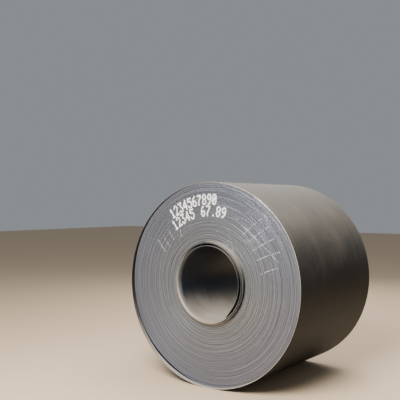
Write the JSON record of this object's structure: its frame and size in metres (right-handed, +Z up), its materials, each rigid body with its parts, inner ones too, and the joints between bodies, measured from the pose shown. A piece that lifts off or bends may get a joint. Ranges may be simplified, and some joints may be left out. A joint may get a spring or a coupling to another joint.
{
  "type": "steel coil",
  "caption": "Coil of hot-rolled steel strip lying on its side, wound round an open bore, with a loose innermost turn, a sprung outermost turn and telescoped ends.",
  "frame": {"origin": "on the floor, under the middle of the coil's box", "axes": "+Z up; the coil's axis runs along Y, and the end that the picture shows faces -Y"},
  "size_m": [1.9699, 1.5562, 1.9676],
  "materials": {
    "hot_rolled_steel": "mill scale on the strip's faces, sheared bare edges on the ends of the coil"
  },
  "bodies": {
    "root": {"steel_coil": "hot_rolled_steel"}
  },
  "joints": []
}
